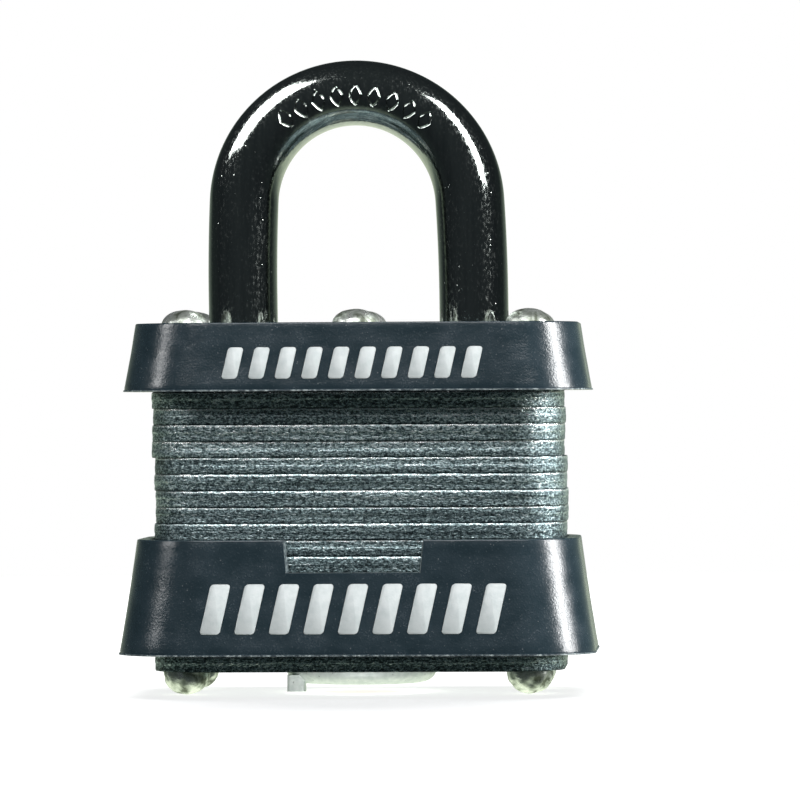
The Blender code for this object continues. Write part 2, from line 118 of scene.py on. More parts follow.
# Bumpers
BUMPER_CORNER = 7.5
BUMPER_BORE_CORNER = 6.3
BUMPER_BORE_WIDTH, BUMPER_BORE_DEPTH = 40.6, 22.8
UPPER_FOOT_WIDTH, UPPER_TOP_WIDTH = 45.2, 43.0
LOWER_FOOT_WIDTH, LOWER_TOP_WIDTH = 46.2, 42.9
DEPTH_LESS = 17.8  # how much shallower than wide a bumper is
CORNER_STEPS, SIDE_STEPS = 28, 60
FLASH_HEIGHT = 0.16
WINDOW_SILL = 11.95
WINDOW_SILL_HALF, WINDOW_TOP_HALF = 6.4, 6.95
WINDOW_FLARE = ((-15.0, 1.05), (-11.3, 0.98), (11.3, 0.98), (15.0, 1.05))  # depth and share of the width

# Shackle
BAR_RADIUS = 3.375
BEND_HALF_THICKNESS = 3.18  # at the crown
BEND_RADIUS = 11.08
SHACKLE_PLAY = 0.32  # how far the crown leans to the left
SPLAY_ANGLE = math.radians(3)
NECK_RADIUS = 2.2
COLLAR_RADIUS, COLLAR_HEIGHT = 3.2, 2.0
LEG_END_GAP, LEG_CHAMFER = 0.3, 0.4
NOTCH_FLOOR_X, NOTCH_RAMP_SLOPE = 9.1, 0.4
SHACKLE_SIDES = 72
CAD_BAR_SIDES = 16
ARCH_STEPS = 96
SPLAY_STEPS = 16

# Rivets
RIVET_RADIUS = 1.5
RIVET_HEAD_RADIUS = 2.3
RIVET_SIDES, DOME_STEPS = 64, 14
DOME_TIP = 0.06  # the share of a dome's quarter turn that its flat tip takes
SEAT_GAP = 0.02

# Guard and plug
ROUND_SIDES = 96
GUARD_BORE_RADIUS = 4.4
GUARD_FACE_RADIUS, GUARD_FLANGE_RADIUS = 5.6, 7.3
GUARD_EDGE_DEPTH = 1.15
GUARD_NECK_RADIUS, GUARD_SHELF_RADIUS = 6.3, 5.3
EAR_X, EAR_Y = -6.1, -3.7
EAR_WIDTH, EAR_DEPTH, EAR_CORNER = 1.8, 1.4, 0.3
EAR_DROP, EAR_HEIGHT = 0.7, 1.6
RIM_RADIUS, RIM_INNER_RADIUS, RIM_HEIGHT = 5.02, 4.3, 1.6

# Camera, nearly level and a little to the right of the front
FOCAL_LENGTH = 275.85
CAMERA_DISTANCE = 600.0
CAMERA_AZIMUTH = math.radians(3)
CAMERA_HEIGHT_SHARE = 0.4619
CAMERA_ASIDE = 3.9
CAMERA_ROLL = math.radians(-0.3)

SLOT_OF = {part["node"]: part["material_slot"] for part in frame["record"]["subparts"]}
BODY_OF = {
    node: body for body, nodes in frame["record"]["behaviour"]["bodies"].items() for node in nodes
}


def box_mm(node):
    """Lowest and highest corner of a CAD node in millimetres."""
    low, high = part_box(node)
    return low / MM, high / MM


# The CAD's bar has flat sides, so its box is a little smaller than the round bar's
FLAT_SHARE = math.cos(math.pi / CAD_BAR_SIDES)
LEG_X = box_mm("shackle")[1].x - BAR_RADIUS * FLAT_SHARE
ARCH_CENTRE_Z = box_mm("shackle")[1].z - BEND_HALF_THICKNESS * FLAT_SHARE - BEND_RADIUS
LEG_END_Z = box_mm(LOWEST_BORED_PLATE)[1].z + LEG_END_GAP


# Meshes


def loft(rings, cyclic=False):
    """A closed body through rings with equal numbers of points, capped unless it closes on itself."""
    bm = bmesh.new()
    loops = [[bm.verts.new(Vector(point) * MM) for point in ring] for ring in rings]
    pairs = list(zip(loops, loops[1:]))
    if cyclic:
        pairs.append((loops[-1], loops[0]))
    else:
        bm.faces.new(loops[0])
        bm.faces.new(loops[-1])
    for lower, upper in pairs:
        for i in range(len(lower)):
            j = (i + 1) % len(lower)
            bm.faces.new((lower[i], lower[j], upper[j], upper[i]))
    bmesh.ops.recalc_face_normals(bm, faces=bm.faces)
    return bm


def joined(bodies):
    """Several bodies in one mesh."""
    whole = bmesh.new()
    for body in bodies:
        mesh = bpy.data.meshes.new("body")
        body.to_mesh(mesh)
        body.free()
        whole.from_mesh(mesh)
        bpy.data.meshes.remove(mesh)
    return whole


def circle(radius, sides, centre=(0.0, 0.0)):
    """Points of a circle, anticlockwise."""
    angles = [2 * math.pi * (i + 0.5) / sides for i in range(sides)]
    return [(centre[0] + radius * math.cos(a), centre[1] + radius * math.sin(a)) for a in angles]


def at_height(outline, z):
    """An outline as a ring of points at one height."""
    return [(x, y, z) for x, y in outline]


def rounded_rectangle(width, depth, radius, corner_steps, side_steps=1):
    """Points and outward directions of a rectangle with round corners, anticlockwise."""
    points = []
    for quarter, (side_x, side_y) in enumerate(((1, 1), (-1, 1), (-1, -1), (1, -1))):
        centre = Vector((side_x * (width / 2 - radius), side_y * (depth / 2 - radius)))
        for step in range(corner_steps + 1):
            angle = (quarter + step / corner_steps) * math.pi / 2
            outward = Vector((math.cos(angle), math.sin(angle)))
            points.append((centre + outward * radius, outward))
    whole = []
    for i, (point, outward) in enumerate(points):
        whole.append((point, outward))
        if i % (corner_steps + 1) == corner_steps:
            following = points[(i + 1) % len(points)][0]
            for step in range(1, side_steps):
                whole.append((point.lerp(following, step / side_steps), outward))
    return whole


def new_object(name, bm):
    """A linked object with the mesh of bm, which it frees."""
    mesh = bpy.data.meshes.new(name)
    bm.to_mesh(mesh)
    bm.free()
    obj = bpy.data.objects.new(name, mesh)
    bpy.context.scene.collection.objects.link(obj)
    return obj


def cut(obj, tool, operation="DIFFERENCE"):
    """Applies one exact Boolean to obj and removes the tool."""
    modifier = obj.modifiers.new("cut", "BOOLEAN")
    modifier.operation = operation
    modifier.object = tool
    modifier.solver = "EXACT"
    evaluated = obj.evaluated_get(bpy.context.evaluated_depsgraph_get())
    result = bpy.data.meshes.new_from_object(evaluated)
    obj.modifiers.clear()
    old = obj.data
    obj.data = result
    bpy.data.meshes.remove(old)
    bpy.data.objects.remove(tool, do_unlink=True)


def cad_copy(node, name):
    """A welded copy of a CAD node's mesh as a new object."""
    bm = bmesh.new()
    bm.from_mesh(frame["nodes"][node].data)
    bmesh.ops.remove_doubles(bm, verts=bm.verts, dist=1e-7)
    return new_object(name, bm)


def finish_piece(obj, material, body, slot, node=None, sharp_degrees=40):
    """Shading, material, the body that the piece rides on, and the CAD node that it stands for."""
    obj.data.materials.clear()
    obj.data.materials.append(material)
    obj.data.polygons.foreach_set("material_index", [0] * len(obj.data.polygons))
    obj.data.shade_smooth()
    obj.data.set_sharp_from_angle(angle=math.radians(sharp_degrees))
    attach(obj, body)
    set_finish(obj, slot)
    if node:
        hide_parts(node)


def stand_in(obj, node, sharp_degrees=40):
    """A piece that stands for one CAD node, with that node's body and material slot."""
    slot = SLOT_OF[node]
    finish_piece(obj, MATERIALS[slot], BODY_OF[node], slot, node, sharp_degrees)


# Materials


class Shader:
    """A Principled material whose textures are laid in the row frame, in millimetres."""

    def __init__(self, name, metallic=0.0, specular=0.5, coat=0.0):
        self.material = bpy.data.materials.new(name)
        self.material.use_nodes = True
        self.tree = self.material.node_tree
        self.principled = self.tree.nodes["Principled BSDF"]
        self.principled.inputs["Metallic"].default_value = metallic
        self.principled.inputs["Specular IOR Level"].default_value = specular
        self.principled.inputs["Coat Weight"].default_value = coat
        self.place = self.tree.nodes.new("ShaderNodeTexCoord").outputs["Object"]

    def add(self, kind, sockets, **settings):
        """A node with its settings, and its sockets either linked or set."""
        node = self.tree.nodes.new(kind)
        for key, value in settings.items():
            setattr(node, key, value)
        for key, value in sockets.items():
            if isinstance(value, bpy.types.NodeSocket):
                self.tree.links.new(value, node.inputs[key])
            else:
                node.inputs[key].default_value = value
        return node

    def stretched(self, stretch):
        """Texture coordinates in millimetres, stretched along each axis."""
        scale = [s / MM for s in stretch]
        return self.add("ShaderNodeMapping", {"Vector": self.place, "Scale": scale}).outputs[0]

    def noise(self, scale, detail=3.0, stretch=(1, 1, 1), distortion=0.0):
        """Noise with about scale features per millimetre."""
        sockets = {"Vector": self.stretched(stretch), "Scale": scale, "Detail": detail}
        return self.add("ShaderNodeTexNoise", {**sockets, "Distortion": distortion}).outputs[0]

    def cells(self, scale, stretch=(1, 1, 1)):
        """Distance from the middles of random cells."""
        sockets = {"Vector": self.stretched(stretch), "Scale": scale}
        return self.add("ShaderNodeTexVoronoi", sockets).outputs[0]

    def spread(self, value, low, high, to_low=0.0, to_high=1.0):
        """A value range moved to another range, and kept inside it."""
        sockets = {"Value": value, "From Min": low, "From Max": high, "To Min": to_low, "To Max": to_high}
        return self.add("ShaderNodeMapRange", sockets).outputs[0]

    def maths(self, operation, first, second):
        """One sum of two values, each a socket or a number."""
        return self.add("ShaderNodeMath", {0: first, 1: second}, operation=operation).outputs[0]

    def ramp(self, value, stops):
        """A colour from a value, by stops of (place, colour)."""
        node = self.add("ShaderNodeValToRGB", {"Fac": value})
        elements = node.color_ramp.elements
        while len(elements) < len(stops):
            elements.new(0.5)
        for element, (place, colour) in zip(elements, stops):
            element.position = place
            element.color = (*colour, 1.0)
        return node.outputs[0]

    def blend(self, share, first, second):
        """One colour over another by a share."""
        node = self.add("ShaderNodeMix", {0: share, 6: first, 7: second}, data_type="RGBA")
        return node.outputs[2]

    def bump(self, height, depth, below=None):
        """A bump whose full height is depth in millimetres, on top of another bump."""
        sockets = {"Height": height, "Strength": 1.0, "Distance": depth * MM}
        if below is not None:
            sockets["Normal"] = below
        return self.add("ShaderNodeBump", sockets).outputs[0]

    def done(self, **sockets):
        """Links or sets the Principled sockets, by name with _ for a space, and gives the material."""
        for key, value in sockets.items():
            socket = self.principled.inputs[key.replace("_", " ")]
            if isinstance(value, bpy.types.NodeSocket):
                self.tree.links.new(value, socket)
            else:
                socket.default_value = value
        return self.material


def zinc_material():
    """Sheared, zinc-plated sheet: dark grey-green metal with bright grains that run along the edge, painted
    shade at the seams between plates and a painted highlight along each plate's top edge.
    """
    s = Shader("zinc_sheet", metallic=0.92)
    grain = s.noise(4.0, 4.0, (0.75, 0.75, 1.4), 0.6)
    fleck = s.noise(8.5, 2.0, (0.85, 0.85, 1.2))
    rows = s.noise(1.0, 1.0, (0.06, 0.06, 0.63))
    mixed = s.maths("ADD", s.maths("MULTIPLY", grain, 0.62), s.maths("MULTIPLY", fleck, 0.38))
    low, pitch = box_mm("plate_21")[0].z, box_mm("plate_20")[0].z - box_mm("plate_21")[0].z
    height = s.add("ShaderNodeSeparateXYZ", {"Vector": s.place}).outputs["Z"]
    level = s.maths("DIVIDE", s.maths("SUBTRACT", height, low * MM), pitch * MM)
    wander = s.spread(s.noise(0.9, 3.0, (1, 1, 0.6)), 0.3, 0.7, -0.035, 0.035)
    share = s.maths("FRACT", s.maths("ADD", level, wander), 0.0)
    # Tones across each plate's thickness: painted shade darkens the seams between neighbouring plates, a
    # painted highlight brightens a line near each plate's top edge, and a lighter line runs halfway up
    seam_shade_edge_highlight_tones = (
        (0.0, 0.05),
        (0.03, 0.45),
        (0.46, 0.5),
        (0.51, 0.75),
        (0.56, 0.48),
        (0.82, 0.5),
        (0.88, 1.0),
        (0.94, 0.9),
        (0.965, 0.1),
        (1.0, 0.0),
    )
    lines = s.ramp(share, [(place, (tone, tone, tone)) for place, tone in seam_shade_edge_highlight_tones])
    striped = s.maths("ADD", mixed, s.spread(lines, 0.0, 1.0, -0.14, 0.14))
    toned = s.maths("ADD", striped, s.spread(rows, 0.3, 0.7, -0.04, 0.04))
    colour = s.ramp(
        toned,
        [
            (0.40, (0.04, 0.057, 0.062)),
            (0.50, (0.17, 0.238, 0.250)),
            (0.57, (0.47, 0.61, 0.63)),
            (0.67, (0.98, 1.00, 1.00)),
        ],
    )
    rough = s.spread(toned, 0.4, 0.65, 0.52, 0.27)
    relief = s.bump(fleck, 0.05, s.bump(grain, 0.09))
    return s.done(Base_Color=colour, Roughness=rough, Normal=relief)


def rivet_material():
    """Bright peened steel with olive-grey tarnish in the hollows."""
    s = Shader("rivet_steel", metallic=0.85)
    patch = s.noise(0.9, 4.0, distortion=0.5)
    fine = s.noise(6.0, 3.0)
    colour = s.ramp(
        patch,
        [(0.36, (0.16, 0.18, 0.14)), (0.47, (0.52, 0.56, 0.50)), (0.6, (0.86, 0.89, 0.84))],
    )
    rough = s.spread(patch, 0.35, 0.65, 0.5, 0.25)
    relief = s.bump(fine, 0.02, s.bump(patch, 0.10))
    return s.done(Base_Color=colour, Roughness=rough, Normal=relief)


def bumper_material():
    """Dark slate moulded plastic, satin, with a fine grain, rubbed patches and specks of dust."""
    s = Shader("slate_plastic", specular=0.7)
    grain = s.noise(5.5, 3.0)
    rubbed = s.noise(0.35, 4.0, (1, 1, 1.4))
    dust = s.spread(s.cells(1.9), 0.0, 0.16, 1.0, 0.0)
    dust_here = s.maths("MULTIPLY", dust, s.spread(s.noise(0.8, 2.0), 0.48, 0.62))
    speck = s.spread(grain, 0.60, 0.74, 0.0, 0.35)
    base = s.ramp(rubbed, [(0.35, (0.018, 0.034, 0.044)), (0.65, (0.026, 0.045, 0.058))])
    lighter = s.blend(speck, base, (0.10, 0.13, 0.15, 1.0))
    colour = s.blend(s.maths("MULTIPLY", dust_here, 0.45), lighter, (0.45, 0.48, 0.50, 1.0))
    rough = s.spread(s.maths("ADD", rubbed, s.maths("MULTIPLY", grain, 0.5)), 0.5, 1.0, 0.17, 0.30)
    relief = s.bump(grain, 0.018, s.bump(rubbed, 0.05))
    return s.done(Base_Color=colour, Roughness=rough, Normal=relief)


def wear_and_highlight_plastic_material():
    """The bumper's plastic on the flash and the cut edges, made pale: partly whitened wear, partly a painted
    highlight on these thin edges.
    """
    s = Shader("worn_plastic")
    fray = s.noise(2.6, 4.0)
    colour = s.ramp(
        fray,
        [(0.42, (0.035, 0.052, 0.064)), (0.55, (0.16, 0.20, 0.21)), (0.66, (0.42, 0.48, 0.48))],
    )
    rough = s.spread(fray, 0.3, 0.7, 0.35, 0.6)
    return s.done(Base_Color=colour, Roughness=rough, Normal=s.bump(fray, 0.03))


def chrome_material():
    """Dark polished plating with a faint wipe along the bar and sparse dull specks."""
    s = Shader("dark_chrome", metallic=1.0)
    wipe = s.noise(2.2, 4.0, (1, 1, 0.06))
    haze = s.noise(5.0, 3.0, (1, 1, 0.5))
    speck = s.spread(s.cells(1.5), 0.0, 0.12, 1.0, 0.0)
    patchy = s.maths("MULTIPLY", speck, s.spread(s.noise(0.7, 2.0), 0.5, 0.6))
    base = s.ramp(wipe, [(0.3, (0.25, 0.275, 0.265)), (0.7, (0.33, 0.355, 0.335))])
    colour = s.blend(s.maths("MULTIPLY", patchy, 0.5), base, (0.75, 0.78, 0.74, 1.0))
    rough = s.maths("ADD", s.spread(haze, 0.45, 0.75, 0.06, 0.26), s.maths("MULTIPLY", patchy, 0.3))
    relief = s.bump(patchy, 0.03, s.bump(haze, 0.009, s.bump(wipe, 0.006)))
    return s.done(Base_Color=colour, Roughness=rough, Normal=relief)


def guard_material():
    """Pale zinc die casting with small dark pits."""
    s = Shader("pale_casting", metallic=0.15, specular=0.5)
    mottle = s.noise(1.6, 4.0)
    pit = s.spread(s.cells(1.7), 0.05, 0.2, 1.0, 0.0)
    pits = s.maths("MULTIPLY", pit, s.spread(s.noise(1.1, 2.0), 0.5, 0.62))
    base = s.ramp(mottle, [(0.35, (0.70, 0.77, 0.73)), (0.65, (0.84, 0.90, 0.86))])
    colour = s.blend(s.maths("MULTIPLY", pits, 0.8), base, (0.10, 0.11, 0.09, 1.0))
    relief = s.bump(mottle, 0.05, s.bump(s.maths("SUBTRACT", 1.0, pits), 0.05))
    return s.done(Base_Color=colour, Roughness=s.spread(mottle, 0.3, 0.7, 0.55, 0.38), Normal=relief)


def brass_material():
    """Machined brass with turned rings and a little tarnish."""
    s = Shader("machined_brass", metallic=1.0)
    tarnish = s.noise(0.8, 4.0)
    lathe = s.noise(4.0, 2.0, (0.15, 0.15, 3.0))
    colour = s.ramp(tarnish, [(0.35, (0.42, 0.27, 0.10)), (0.65, (0.76, 0.56, 0.25))])
    rough = s.spread(tarnish, 0.3, 0.7, 0.42, 0.24)
    return s.done(Base_Color=colour, Roughness=rough, Normal=s.bump(lathe, 0.02))


def spring_material():
    """Drawn steel wire and strip with fine draw lines."""
    s = Shader("drawn_steel", metallic=1.0)
    tone = s.noise(2.0, 3.0)
    colour = s.ramp(tone, [(0.35, (0.34, 0.34, 0.33)), (0.65, (0.62, 0.62, 0.60))])
    rough = s.spread(tone, 0.3, 0.7, 0.4, 0.25)
    return s.done(Base_Color=colour, Roughness=rough, Normal=s.bump(s.noise(9.0, 2.0), 0.01))


def inlay_material():
    """White moulded-in plastic, slightly greyed."""
    s = Shader("white_plastic", specular=0.5)
    soil = s.noise(1.2, 4.0)
    colour = s.ramp(soil, [(0.3, (0.60, 0.66, 0.66)), (0.6, (0.70, 0.75, 0.75))])
    rough = s.spread(soil, 0.3, 0.7, 0.48, 0.36)
    return s.done(Base_Color=colour, Roughness=rough, Normal=s.bump(s.noise(5.0, 2.0), 0.01))


MATERIALS = {
    "zinc_plate": zinc_material(),
    "rivet_steel": rivet_material(),
    "bumper_plastic": bumper_material(),
    "shackle_chrome": chrome_material(),
    "zinc_guard": guard_material(),
    "brass": brass_material(),
    "spring_steel": spring_material(),
    "inlay_white": inlay_material(),
}
# Pale plastic for the thin flash and cut edges: partly wear, partly a painted highlight
WEAR_AND_HIGHLIGHT_PLASTIC = wear_and_highlight_plastic_material()


# Plates


def sheared_blank(number, low, high, rng):
    """A solid plate with round corners and a punched edge: smooth half, torn half, rolled rim, burr."""
    width, depth = high.x - low.x, high.y - low.y
    corner_steps = round(PLATE_CORNER * math.pi / 2 / EDGE_SPACING)
    side_steps = round((width - 2 * PLATE_CORNER) / EDGE_SPACING)
    outline = rounded_rectangle(width, depth, PLATE_CORNER, corner_steps, side_steps)
    shift = Vector((rng.uniform(-SHIFT, SHIFT), rng.uniform(-SHIFT, SHIFT)))
    if high.z < STACK_STEP_Z:
        shift.x += STACK_STEP
    base, thickness = low.z - SKIN, high.z - low.z + 2 * SKIN
    torn_up = rng.random() < 0.5
    break_line = rng.uniform(0.42, 0.58)
    rings = []
    for share, proud, grit_share in SHEARED_EDGE:
        bow = math.sin(math.pi * share)
        ring = []
        for point, outward in outline:
            slow = Vector((point.x * 0.35, point.y * 0.35, number * 7.0))
            warped = share + (break_line - 0.5) * bow + EDGE_WANDER * noise.noise(slow) * bow
            rise = 1 - warped if torn_up else warped
            coarse = Vector((point.x * 2.6, point.y * 2.6, number * 5.0 + share * 6.0))
            fine = Vector((point.x * 5.5, point.y * 5.5, number * 3.0 + share * 11.0))
            tear = TEAR_COARSE * noise.noise(coarse) + TEAR_FINE * noise.noise(fine)
            spot = point + shift + outward * (proud + grit_share * tear - EDGE_SET_BACK)
            ring.append((spot.x, spot.y, base + rise * thickness))
        rings.append(ring)
    return loft(rings)


def plate_holes(node, low, high):
    """A plate's holes as solid bodies: a slab less a thickened copy of the CAD's plate."""
    width, depth = high.x - low.x - 2 * HOLE_MARGIN, high.y - low.y - 2 * HOLE_MARGIN
    outline = [point for point, _ in rounded_rectangle(width, depth, PLATE_CORNER - HOLE_MARGIN, 6)]
    slab = loft([at_height(outline, z) for z in (low.z - HOLE_BEYOND, high.z + HOLE_BEYOND)])
    holes = new_object("holes", slab)
    thick_copy = cad_copy(node, "plate_copy")
    middle_z = (low.z + high.z) / 2
    for vertex in thick_copy.data.vertices:
        vertex.co.z += math.copysign(COPY_THICKENING * MM, vertex.co.z - middle_z * MM)
    cut(holes, thick_copy)
    return holes


def build_plates():
    """The stack of plates. The top one shows its bores for the legs, so they are cut round."""
    rng = random.Random(SEED)
    for number in range(1, PLATE_COUNT + 1):
        node = f"plate_{number:02d}"
        low, high = box_mm(node)
        plate = new_object(f"sheet_{number:02d}", sheared_blank(number, low, high, rng))
        cut(plate, plate_holes(node, low, high))
        if number == 1:
            for side in (-1, 1):
                bore = circle(BAR_RADIUS + LEG_BORE_GAP, ROUND_SIDES, (side * LEG_X, 0.0))
                rings = [at_height(bore, z) for z in (low.z - HOLE_BEYOND, high.z + HOLE_BEYOND)]
                cut(plate, new_object("bore", loft(rings)))
        stand_in(plate, node)


# Bumpers


def wall_width(share, foot_width, top_width):
    """Width across the drafted outer wall, from share 0 at the foot to 1 at the top."""
    down = 1 - share
    flare = 0.13
    return top_width + (foot_width - top_width) * ((1 - flare) * down + flare * down * down)


def bumper_shell(low, high, foot_width, top_width):
    """A drafted band with small round edges, a moulding flash under its foot, and a slightly wavy wall."""
    rise = high.z - low.z
    fillet, fillet_steps = 0.13, 5
    flash_out, wall_foot, wall_steps = 0.05, FLASH_HEIGHT + 0.2, 16
    # How far each ring stands out from the wall, its height, and its share of the waviness
    stations = [(-0.55, 0.0, 0.0), (-0.10, 0.0, 0.0), (flash_out, 0.02, 1.0), (flash_out, FLASH_HEIGHT, 1.0)]
    stations.append((-0.03, FLASH_HEIGHT + 0.06, 0.4))
    for step in range(wall_steps + 1):
        stations.append((0.0, wall_foot + (rise - wall_foot - fillet) * step / wall_steps, 0.3))
    for step in range(1, fillet_steps + 1):
        angle = step / fillet_steps * math.pi / 2
        stations.append((fillet * (math.cos(angle) - 1), rise - fillet + fillet * math.sin(angle), 0.2))
    rings = []
    for proud, z, waviness in stations:
        width = wall_width(z / rise, foot_width, top_width) + 2 * proud
        corner = BUMPER_CORNER + proud
        ring = []
        for point, outward in rounded_rectangle(width, width - DEPTH_LESS, corner, CORNER_STEPS, SIDE_STEPS):
            wave = 0.05 * waviness * noise.noise(Vector((point.x * 0.8, point.y * 0.8, z * 0.5)))
            spot = point + outward * wave
            ring.append((spot.x, spot.y, low.z + z))
        rings.append(ring)
    bore = rounded_rectangle(
        BUMPER_BORE_WIDTH, BUMPER_BORE_DEPTH, BUMPER_BORE_CORNER, CORNER_STEPS, SIDE_STEPS
    )
    rings += [at_height([point for point, _ in bore], z) for z in (high.z, low.z)]
    return loft(rings, cyclic=True)


def stripes(low, high, foot_width, top_width, middle_z, span, count, height, pocket):
    """A row of slanted bars set in the front wall, or their pockets, one body for each."""
    half_bar = 0.29 * span / count
    lean, depth, proud, edge_round = 0.22, 0.4, 0.03, 0.03
    grow = 0.012 if pocket else 0.0
    front, back = (1.0, depth + 0.015) if pocket else (proud, depth)
    bars = []
    for i in range(count):
        middle_x = span * ((i + 0.5) / count - 0.5)
        outline = rounded_rectangle(2 * (half_bar + grow), height + 2 * grow, 0.35, 6)
        rings = []
        for out, inset in ((-back, 0.0), (front - edge_round, 0.0), (front, edge_round)):
            ring = []
            for point, outward in outline:
                spot = point - outward * (0.0 if pocket else inset)
                z = middle_z + spot.y
                share = (z - low.z) / (high.z - low.z)
                wall_y = -(wall_width(share, foot_width, top_width) - DEPTH_LESS) / 2
                ring.append((middle_x + spot.x + lean * spot.y, wall_y - out, z))
            rings.append(ring)
        bars.append(loft(rings))
    return joined(bars)


def cut_window(shell, top_z):
    """Cuts the window through the front and back walls of the lower bumper."""
    outline = [
        (-WINDOW_SILL_HALF, WINDOW_SILL),
        (WINDOW_SILL_HALF, WINDOW_SILL),
        (WINDOW_TOP_HALF, top_z),
        (-WINDOW_TOP_HALF, top_z),
    ]
    rings = [[(x * flare, y, z) for x, z in outline] for y, flare in WINDOW_FLARE]
    cut(shell, new_object("window", loft(rings)))


def mark_worn_and_highlit_edges(shell, foot_z, has_window):
    """Gives the foot's flash and the window's cut walls the pale plastic, which is partly wear and partly a
    painted highlight.
    """
    flash_top, window_margin, sill_margin = FLASH_HEIGHT + 0.01, 0.3, 0.1
    shell.data.materials.append(WEAR_AND_HIGHLIGHT_PLASTIC)
    for face in shell.data.polygons:
        x, _, z = face.center / MM
        on_flash = 0.0 < z - foot_z < flash_top and abs(face.normal.z) < 0.5
        beside_window = abs(x) < WINDOW_TOP_HALF + window_margin and z > WINDOW_SILL - sill_margin
        cut_wall = has_window and beside_window and abs(face.normal.y) < 0.5
        if on_flash or cut_wall:
            face.material_index = 1


def build_bumpers():
    """Both bands with their inlaid stripes: widths, then the row's height, span, count and bar height."""
    bands = (
        ("upper", UPPER_FOOT_WIDTH, UPPER_TOP_WIDTH, 32.1, 25.5, 10, 3.05),
        ("lower", LOWER_FOOT_WIDTH, LOWER_TOP_WIDTH, 8.5, 29.8, 9, 4.8),
    )
    for name, *sizes in bands:
        foot_width, top_width = sizes[:2]
        low, high = box_mm(f"{name}_bumper")
        shell = new_object(f"{name}_band", bumper_shell(low, high, foot_width, top_width))
        cut(shell, new_object("pockets", stripes(low, high, *sizes, pocket=True)))
        if name == "lower":
            cut_window(shell, high.z + 2)
        stand_in(shell, f"{name}_bumper", 30)
        mark_worn_and_highlit_edges(shell, low.z, name == "lower")
        inlay = new_object(f"{name}_stripes", stripes(low, high, *sizes, pocket=False))
        finish_piece(inlay, MATERIALS["inlay_white"], "body", "inlay_white", sharp_degrees=50)


# Shackle


def leaned(point):
    """A point of the shackle, moved to the left in step with its height above the lower plates."""
    foot_z, crown_z = LEG_END_Z - LEG_END_GAP, ARCH_CENTRE_Z + BEND_RADIUS
    share = max(0.0, (point.z - foot_z) / (crown_z - foot_z))
    return point - Vector((SHACKLE_PLAY * share, 0, 0))


def bend_half_thickness(angle):
    """The bar's half thickness at an angle round the bend: full at its ends and least at the crown."""
    return BAR_RADIUS + (BEND_HALF_THICKNESS - BAR_RADIUS) * math.sin(angle) ** 2


def leg_stations(side):
    """Centre, direction, half thickness and half depth of a leg, from where it splays up to the bend."""
    offset = LEG_X - BEND_RADIUS * math.cos(SPLAY_ANGLE)
    top_z = ARCH_CENTRE_Z + BEND_RADIUS * math.sin(SPLAY_ANGLE)
    length = 2 * offset / math.tan(SPLAY_ANGLE)
    stations = []
    for step in range(SPLAY_STEPS):
        rise = step / SPLAY_STEPS
        centre = Vector((side * (LEG_X - offset * rise * rise), 0, top_z - length * (1 - rise)))
        direction = Vector((-side * math.tan(SPLAY_ANGLE) * rise, 0, 1)).normalized()
        stations.append((centre, direction, BAR_RADIUS, BAR_RADIUS))
    return stations


def bend_stations():
    """Centre, direction, half thickness and half depth round the bend, from left to right."""
    first = math.pi - SPLAY_ANGLE
    sweep = math.pi - 2 * SPLAY_ANGLE
    stations = []
    for step in range(ARCH_STEPS + 1):
        angle = first - sweep * step / ARCH_STEPS
        outward = Vector((math.cos(angle), 0, math.sin(angle)))
        direction = Vector((math.sin(angle), 0, -math.cos(angle)))
        centre = Vector((0, 0, ARCH_CENTRE_Z)) + outward * BEND_RADIUS
        stations.append((centre, direction, bend_half_thickness(angle), BAR_RADIUS))
    return stations


def shackle_stations():
    """The whole bar, from the heel's foot over the bend to the toe."""
    collar_low = box_mm("shackle")[0].z
    collar_high = collar_low + COLLAR_HEIGHT
    up = Vector((0, 0, 1))
    toe = [(LEG_END_Z + LEG_CHAMFER, BAR_RADIUS), (LEG_END_Z, BAR_RADIUS - LEG_CHAMFER)]
    foot = [
        (collar_low, COLLAR_RADIUS),
        (collar_high, COLLAR_RADIUS),
        (collar_high, NECK_RADIUS),
        (LEG_END_Z, NECK_RADIUS),
        *reversed(toe),
    ]
    stations = [(Vector((-LEG_X, 0, z)), up, radius, radius) for z, radius in foot]
    stations += leg_stations(-1) + bend_stations()
    stations += [(centre, -direction, *half) for centre, direction, *half in reversed(leg_stations(1))]
    stations += [(Vector((LEG_X, 0, z)), -up, radius, radius) for z, radius in toe]
    return [(leaned(centre), *rest) for centre, *rest in stations]


def notch_tool(side):
    """The lever's notch in one leg."""
    low, high = box_mm("plate_04")[0].z + 0.1, box_mm("plate_03")[1].z
    inside_x = LEG_X - BAR_RADIUS - 1.0
    past_bar = BAR_RADIUS + 0.625
    ramp_low = low - (NOTCH_FLOOR_X - inside_x) / NOTCH_RAMP_SLOPE
    outline = [(inside_x, ramp_low), (NOTCH_FLOOR_X, low), (NOTCH_FLOOR_X, high), (inside_x, high)]
    return loft([[(side * x, y, z) for x, z in outline] for y in (-past_bar, past_bar)])


def groove_tool(path, radius, sides=6):
    """A thin closed tube along a closed path, for pressing a line into a surface."""
    front = Vector((0, -1, 0))
    rings = []
    for i, point in enumerate(path):
        direction = (path[(i + 1) % len(path)] - path[i - 1]).normalized()
        across = direction.cross(front).normalized()
        outward = across.cross(direction)
        rings.append([point + across * a + outward * b for a, b in circle(radius, sides)])
    return loft(rings, cyclic=True)


